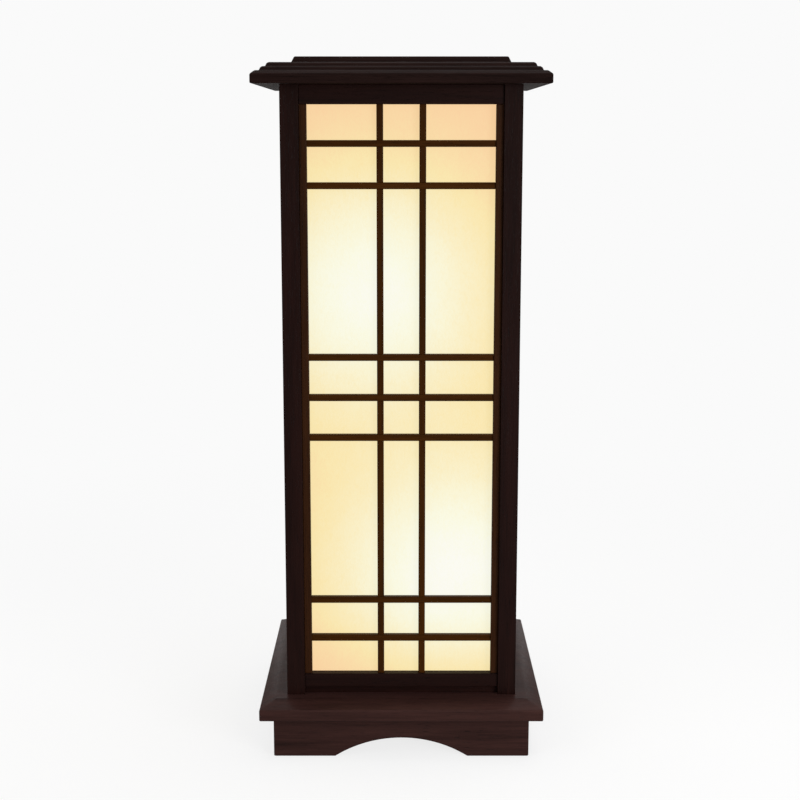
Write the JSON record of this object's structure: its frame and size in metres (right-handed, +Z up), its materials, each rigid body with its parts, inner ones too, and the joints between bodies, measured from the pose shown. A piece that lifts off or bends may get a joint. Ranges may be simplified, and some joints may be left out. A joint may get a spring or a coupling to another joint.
{
  "type": "lattice floor lamp",
  "caption": "Square wooden lantern floor lamp with paper panels behind a lattice, a lift-off stepped lid, a bevelled plate on arched aprons and screw-in bulbs inside.",
  "frame": {"origin": "middle of the base's underside, at the floor", "axes": "+Z up along the lamp, front faces -Y, +X to the right seen from the front"},
  "size_m": [0.246, 0.246, 0.6],
  "materials": {
    "dark_wood": "dark brown stain under satin lacquer",
    "inner_wood": "bare softwood",
    "panel_paper": "cream translucent paper, lit from inside",
    "screw_steel": "plain",
    "zinc_steel": "zinc plated",
    "black_plastic": "matte black",
    "brass": "plain",
    "cap_metal": "nickel bright",
    "opal_glass": "opal white, lit",
    "white_plastic": "matte",
    "wire_sheath": "soft sheath",
    "rubber": "matte black"
  },
  "bodies": {
    "root": {"apron_back": "dark_wood", "apron_corner_blocks": "inner_wood", "apron_front": "dark_wood", "apron_left": "dark_wood", "apron_right": "dark_wood", "base_plate": "dark_wood", "bottom_rail_back": "dark_wood", "bottom_rail_front": "dark_wood", "bottom_rail_left": "dark_wood", "bottom_rail_right": "dark_wood", "corner_block_screws": "screw_steel", "internal_wires": "wire_sheath", "lattice_crossbars_back": "dark_wood", "lattice_crossbars_front": "dark_wood", "lattice_crossbars_left": "dark_wood", "lattice_crossbars_right": "dark_wood", "lattice_uprights_back": "dark_wood", "lattice_uprights_front": "dark_wood", "lattice_uprights_left": "dark_wood", "lattice_uprights_right": "dark_wood", "lead_grommet": "rubber", "lower_holder_contacts": "brass", "lower_holder_foot": "black_plastic", "lower_holder_shell": "black_plastic", "lower_lamp_pipe": "zinc_steel", "paper_panel_back": "panel_paper", "paper_panel_front": "panel_paper", "paper_panel_left": "panel_paper", "paper_panel_right": "panel_paper", "pipe_nuts": "zinc_steel", "post_back_left": "dark_wood", "post_back_right": "dark_wood", "post_front_left": "dark_wood", "post_front_right": "dark_wood", "post_screws": "screw_steel", "stiles_back": "dark_wood", "stiles_front": "dark_wood", "stiles_left": "dark_wood", "stiles_right": "dark_wood", "terminal_block": "white_plastic", "top_rail_back": "dark_wood", "top_rail_front": "dark_wood", "top_rail_left": "dark_wood", "top_rail_right": "dark_wood", "upper_holder_contacts": "brass", "upper_holder_foot": "black_plastic", "upper_holder_shell": "black_plastic", "upper_lamp_pipe": "zinc_steel"},
    "lid": {"lid_crown_board": "dark_wood", "lid_long_cleats": "inner_wood", "lid_roof_board": "dark_wood", "lid_screws": "screw_steel", "lid_short_cleats": "inner_wood"},
    "lower_bulb_carrier": {"lower_bulb_contact": "brass"},
    "lower_bulb": {"lower_bulb_cap": "cap_metal", "lower_bulb_globe": "opal_glass"},
    "upper_bulb_carrier": {"upper_bulb_contact": "brass"},
    "upper_bulb": {"upper_bulb_cap": "cap_metal", "upper_bulb_globe": "opal_glass"}
  },
  "joints": [
    {"name": "lid_lift", "type": "slide", "parent": "root", "child": "lid", "axis": [0, 0, 1], "range_m": [0, 0.12]},
    {"name": "lower_bulb_lift", "type": "slide", "parent": "root", "child": "lower_bulb_carrier", "axis": [0, 0, 1], "range_m": [0, 0.0146]},
    {"name": "lower_bulb_turn", "type": "hinge", "parent": "lower_bulb_carrier", "child": "lower_bulb", "pos_m": [0.045, 0, 0.0845], "axis": [0, 0, 1], "range_deg": [0, 1440]},
    {"name": "upper_bulb_lift", "type": "slide", "parent": "root", "child": "upper_bulb_carrier", "axis": [0, 0, 1], "range_m": [0, 0.0146]},
    {"name": "upper_bulb_turn", "type": "hinge", "parent": "upper_bulb_carrier", "child": "upper_bulb", "pos_m": [-0.024, 0, 0.33], "axis": [0, 0, 1], "range_deg": [0, 1440]}
  ],
  "couplings": [
    {"joint": "lower_bulb_lift", "follows": "lower_bulb_turn", "m_per_rad": 0.00057757},
    {"joint": "upper_bulb_lift", "follows": "upper_bulb_turn", "m_per_rad": 0.00057757}
  ]
}
